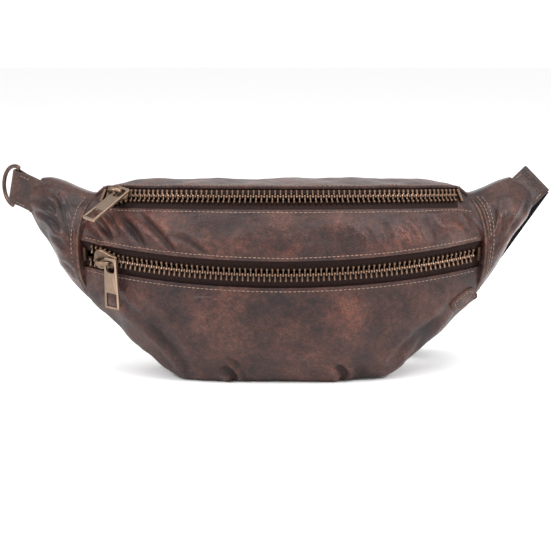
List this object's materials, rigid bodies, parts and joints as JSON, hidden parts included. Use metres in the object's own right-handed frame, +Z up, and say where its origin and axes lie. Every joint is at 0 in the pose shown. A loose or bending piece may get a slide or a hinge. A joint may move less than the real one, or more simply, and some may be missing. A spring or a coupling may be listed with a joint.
{
  "type": "waist pack",
  "caption": "Curved leather waist pack with two metal zips across its front, side wings, a D-ring tab and a webbing belt.",
  "frame": {"origin": "centre of the flat base, on the surface the pack stands on", "axes": "+X along the pack, to the right as seen from its zips; +Y towards the wearer; +Z up"},
  "size_m": [0.3836, 0.1165, 0.14],
  "materials": {
    "leather": "waxed brown leather with blotchy darker patches and a satin gloss",
    "foam": "grey foam sheet",
    "lining": "dark woven lining",
    "zip_tape": "dark brown woven zip tape",
    "zip_metal": "antique brass",
    "pull_metal": "brushed antique brass with worn edges",
    "ring_metal": "dark aged copper",
    "webbing": "black woven webbing"
  },
  "bodies": {
    "bag": {"front_lower_panel": "leather", "front_upper_panel": "leather", "top_panel": "leather", "back_panel": "leather", "base_panel": "leather", "left_wing": "leather", "right_wing": "leather", "zip_end_facings": "leather", "left_tab": "leather", "right_tab": "leather", "side_patch": "leather", "seam_pipings": "leather", "back_padding": "foam", "front_pocket_lining": "lining", "main_zip_tape_front": "zip_tape", "main_zip_teeth_front": "zip_metal", "main_zip_tape_back": "zip_tape", "main_zip_teeth_back": "zip_metal", "main_zip_stops": "zip_metal", "front_zip_tape_lower": "zip_tape", "front_zip_teeth_lower": "zip_metal", "front_zip_tape_upper": "zip_tape", "front_zip_teeth_upper": "zip_metal", "front_zip_stops": "zip_metal", "waist_strap": "webbing", "strap_keeper": "webbing", "hook_eye": "ring_metal"},
    "main_slider": {"main_zip_slider": "zip_metal"},
    "main_pull": {"main_zip_pull": "pull_metal"},
    "front_slider": {"front_zip_slider": "zip_metal"},
    "front_pull": {"front_zip_pull": "pull_metal"},
    "ring": {"d_ring": "ring_metal"},
    "adjuster": {"strap_adjuster": "ring_metal"},
    "hook": {"hook_body": "ring_metal"},
    "gate": {"hook_gate": "ring_metal"}
  },
  "joints": [
    {"name": "main_zip_travel", "type": "hinge", "parent": "bag", "child": "main_slider", "pos_m": [0, 0.16035, 0.10219], "axis": [0, 0.1211, 0.9926], "range_deg": [0, 65], "deforming": ["main_zip_teeth_front", "main_zip_teeth_back"]},
    {"name": "main_pull_swing", "type": "hinge", "parent": "main_slider", "child": "main_pull", "pos_m": [-0.10662, -0.01425, 0.12645], "axis": [-0.4657, -0.6642, 0.5847], "range_deg": [-14, 65]},
    {"name": "front_zip_travel", "type": "hinge", "parent": "bag", "child": "front_slider", "pos_m": [0, 0.19551, 0.12359], "axis": [0, -0.1812, 0.9835], "range_deg": [0, 55.8], "deforming": ["front_zip_teeth_lower", "front_zip_teeth_upper"]},
    {"name": "front_pull_swing", "type": "hinge", "parent": "front_slider", "child": "front_pull", "pos_m": [-0.11334, -0.03201, 0.08168], "axis": [-0.4569, -0.8748, -0.1611], "range_deg": [-60, 60]},
    {"name": "ring_swing", "type": "hinge", "parent": "bag", "child": "ring", "pos_m": [-0.18326, 0.02209, 0.12476], "axis": [0.212, -0.1485, 0.9659], "range_deg": [-70, 90]},
    {"name": "adjuster_slide", "type": "slide", "parent": "bag", "child": "adjuster", "axis": [1, 0, 0], "range_m": [-0.003, 0.003]},
    {"name": "hook_swivel", "type": "hinge", "parent": "bag", "child": "hook", "pos_m": [-0.049, 0.046, 0.0056], "axis": [1, 0, 0], "continuous": true},
    {"name": "gate_press", "type": "hinge", "parent": "hook", "child": "gate", "pos_m": [-0.0586, 0.0542, 0.0056], "axis": [0, 0, 1], "range_deg": [0, 22], "stiffness_Nm_per_rad": 0.05, "springref_deg": -5.73}
  ]
}
